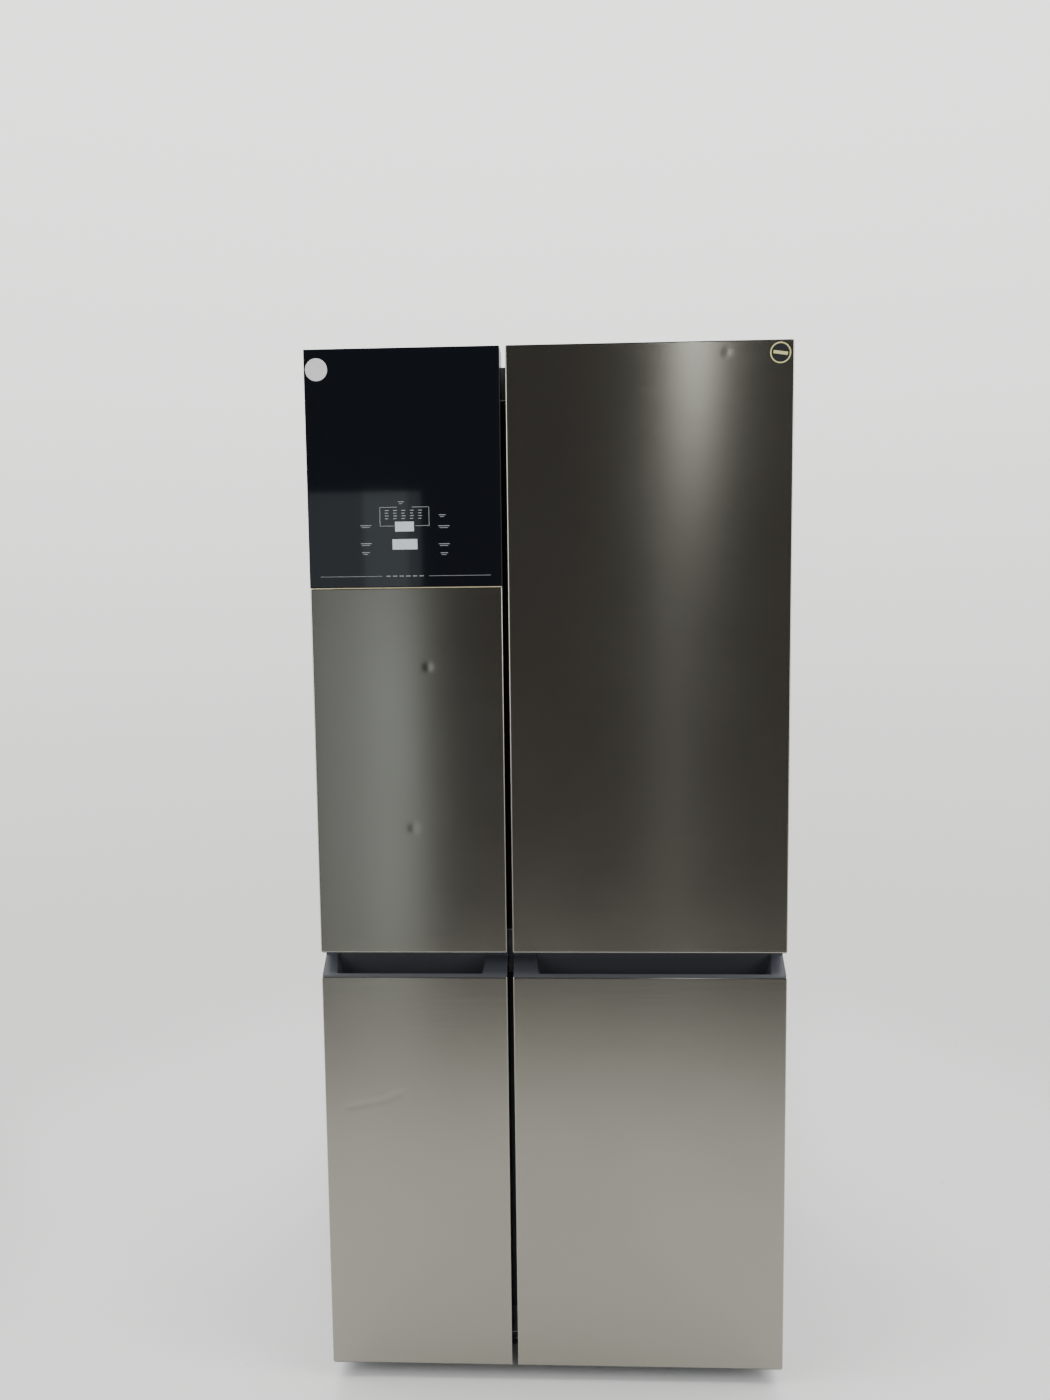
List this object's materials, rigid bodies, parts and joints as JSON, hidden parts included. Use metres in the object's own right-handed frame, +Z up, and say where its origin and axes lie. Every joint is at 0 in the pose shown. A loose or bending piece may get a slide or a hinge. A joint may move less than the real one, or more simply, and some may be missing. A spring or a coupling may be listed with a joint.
{
  "type": "french door refrigerator",
  "caption": "Tall refrigerator with two upper doors over two lower doors, black glass control panel, recessed grips, shelves, bins, drawers and cooling unit.",
  "frame": {"origin": "middle of the footprint, on the floor", "axes": "+Z up, doors face -Y, +X to the right seen from the front"},
  "size_m": [0.83, 0.745, 1.868],
  "materials": {
    "steel_front": "brushed stainless, fine grain across the door, slightly worn",
    "cabinet_paint": "satin grey powder coat",
    "zinc_sheet": "galvanised sheet",
    "hinge_steel": "dark passivated steel",
    "foam": "rigid polyurethane foam, skinned",
    "white_liner": "vacuum-formed white sheet, satin",
    "dark_cap": "dark grey moulded end caps, fine texture",
    "post_paint": "dark blue-grey front posts",
    "pale_rail": "pale grey rail",
    "seal": "soft grey vinyl",
    "black_glass": "black back-printed tempered glass",
    "shelf_glass": "clear tempered shelf glass",
    "clear_tray": "clear styrene",
    "white_plastic": "white moulded plastic",
    "board": "green circuit board",
    "black_plastic": "black moulded plastic",
    "black_steel": "black enamel",
    "fin_aluminium": "bare aluminium fins",
    "black_rubber": "black rubber",
    "frosted_lamp": "frosted diffuser",
    "rear_sheet": "plain grey coated sheet"
  },
  "bodies": {
    "cabinet": {"base_plate": "zinc_sheet", "cabinet_foam": "foam", "ceiling_lamp": "frosted_lamp", "centre_posts": "post_paint", "compressor": "black_steel", "condenser_coil": "black_steel", "cord_gland": "black_rubber", "corner_hinges": "hinge_steel", "divider_rail": "pale_rail", "drip_tray": "black_plastic", "duct_covers": "white_plastic", "evaporator": "fin_aluminium", "freezer_liners": "white_liner", "fridge_liner": "white_liner", "glass_shelves": "shelf_glass", "hinge_covers": "dark_cap", "kick_plate": "black_plastic", "middle_hinges": "hinge_steel", "outer_casing": "cabinet_paint", "rear_cover": "rear_sheet", "rear_panel": "rear_sheet", "shelf_strips": "white_plastic"},
    "left_upper_door": {"left_upper_skin": "steel_front", "left_upper_core": "foam", "left_upper_liner": "white_liner", "left_upper_gasket": "seal", "left_upper_caps": "dark_cap", "control_glass": "black_glass", "control_board": "board", "left_bins": "clear_tray"},
    "right_upper_door": {"right_upper_skin": "steel_front", "right_upper_core": "foam", "right_upper_liner": "white_liner", "right_upper_gasket": "seal", "right_upper_caps": "dark_cap", "right_bins": "clear_tray"},
    "left_lower_door": {"left_lower_skin": "steel_front", "left_lower_core": "foam", "left_lower_liner": "white_liner", "left_lower_gasket": "seal", "left_lower_caps": "dark_cap"},
    "right_lower_door": {"right_lower_skin": "steel_front", "right_lower_core": "foam", "right_lower_liner": "white_liner", "right_lower_gasket": "seal", "right_lower_caps": "dark_cap"},
    "dairy_lid": {"dairy_lid": "clear_tray"},
    "left_crisper": {"left_crisper": "clear_tray"},
    "right_crisper": {"right_crisper": "clear_tray"},
    "front_foot_left": {"front_foot_left": "black_plastic"},
    "front_foot_right": {"front_foot_right": "black_plastic"},
    "rear_rollers": {"rear_rollers": "black_plastic"},
    "condenser_fan": {"condenser_fan": "black_plastic"},
    "freezer_fan": {"freezer_fan": "white_plastic"},
    "left_low_drawer": {"left_low_drawer": "clear_tray"},
    "left_middle_drawer": {"left_middle_drawer": "clear_tray"},
    "left_top_drawer": {"left_top_drawer": "clear_tray"},
    "right_low_drawer": {"right_low_drawer": "clear_tray"},
    "right_middle_drawer": {"right_middle_drawer": "clear_tray"},
    "right_top_drawer": {"right_top_drawer": "clear_tray"}
  },
  "joints": [
    {"name": "left_upper_door_hinge", "type": "hinge", "parent": "cabinet", "child": "left_upper_door", "pos_m": [-0.401, -0.3205, 1.2], "axis": [0, 0, -1], "range_deg": [0, 120]},
    {"name": "right_upper_door_hinge", "type": "hinge", "parent": "cabinet", "child": "right_upper_door", "pos_m": [0.401, -0.3205, 1.2], "axis": [0, 0, 1], "range_deg": [0, 120]},
    {"name": "left_lower_door_hinge", "type": "hinge", "parent": "cabinet", "child": "left_lower_door", "pos_m": [-0.401, -0.3205, 0.4], "axis": [0, 0, -1], "range_deg": [0, 120]},
    {"name": "right_lower_door_hinge", "type": "hinge", "parent": "cabinet", "child": "right_lower_door", "pos_m": [0.401, -0.3205, 0.4], "axis": [0, 0, 1], "range_deg": [0, 120]},
    {"name": "left_crisper_slide", "type": "slide", "parent": "cabinet", "child": "left_crisper", "axis": [0, -1, 0], "range_m": [0, 0.275]},
    {"name": "left_low_drawer_slide", "type": "slide", "parent": "cabinet", "child": "left_low_drawer", "axis": [0, -1, 0], "range_m": [0, 0.18]},
    {"name": "left_middle_drawer_slide", "type": "slide", "parent": "cabinet", "child": "left_middle_drawer", "axis": [0, -1, 0], "range_m": [0, 0.18]},
    {"name": "left_top_drawer_slide", "type": "slide", "parent": "cabinet", "child": "left_top_drawer", "axis": [0, -1, 0], "range_m": [0, 0.18]},
    {"name": "right_crisper_slide", "type": "slide", "parent": "cabinet", "child": "right_crisper", "axis": [0, -1, 0], "range_m": [0, 0.275]},
    {"name": "right_low_drawer_slide", "type": "slide", "parent": "cabinet", "child": "right_low_drawer", "axis": [0, -1, 0], "range_m": [0, 0.18]},
    {"name": "right_middle_drawer_slide", "type": "slide", "parent": "cabinet", "child": "right_middle_drawer", "axis": [0, -1, 0], "range_m": [0, 0.18]},
    {"name": "right_top_drawer_slide", "type": "slide", "parent": "cabinet", "child": "right_top_drawer", "axis": [0, -1, 0], "range_m": [0, 0.18]},
    {"name": "dairy_lid_hinge", "type": "hinge", "parent": "right_upper_door", "child": "dairy_lid", "pos_m": [0.2, -0.2865, 1.682], "axis": [1, 0, 0], "range_deg": [0, 75]},
    {"name": "condenser_fan_spin", "type": "hinge", "parent": "cabinet", "child": "condenser_fan", "pos_m": [-0.028, 0.24, 0.1425], "axis": [1, 0, 0], "continuous": true},
    {"name": "freezer_fan_spin", "type": "hinge", "parent": "cabinet", "child": "freezer_fan", "pos_m": [0.15873, 0.23, 0.6542], "axis": [0, 1, 0], "continuous": true},
    {"name": "rear_roller_spin", "type": "hinge", "parent": "cabinet", "child": "rear_rollers", "pos_m": [0, 0.3025, 0.018], "axis": [1, 0, 0], "continuous": true},
    {"name": "front_foot_left_thread", "type": "hinge", "parent": "cabinet", "child": "front_foot_left", "pos_m": [-0.375, -0.2542, 0.01], "axis": [0, 0, 1], "continuous": true},
    {"name": "front_foot_right_thread", "type": "hinge", "parent": "cabinet", "child": "front_foot_right", "pos_m": [0.375, -0.2542, 0.01], "axis": [0, 0, 1], "continuous": true}
  ],
  "couplings": [
    {"joint": "left_crisper_slide", "follows": "left_upper_door_hinge", "m_per_rad": 0.13},
    {"joint": "left_low_drawer_slide", "follows": "left_lower_door_hinge", "m_per_rad": 0.085},
    {"joint": "left_middle_drawer_slide", "follows": "left_lower_door_hinge", "m_per_rad": 0.085},
    {"joint": "left_top_drawer_slide", "follows": "left_lower_door_hinge", "m_per_rad": 0.085},
    {"joint": "right_crisper_slide", "follows": "right_upper_door_hinge", "m_per_rad": 0.13},
    {"joint": "right_low_drawer_slide", "follows": "right_lower_door_hinge", "m_per_rad": 0.085},
    {"joint": "right_middle_drawer_slide", "follows": "right_lower_door_hinge", "m_per_rad": 0.085},
    {"joint": "right_top_drawer_slide", "follows": "right_lower_door_hinge", "m_per_rad": 0.085}
  ]
}
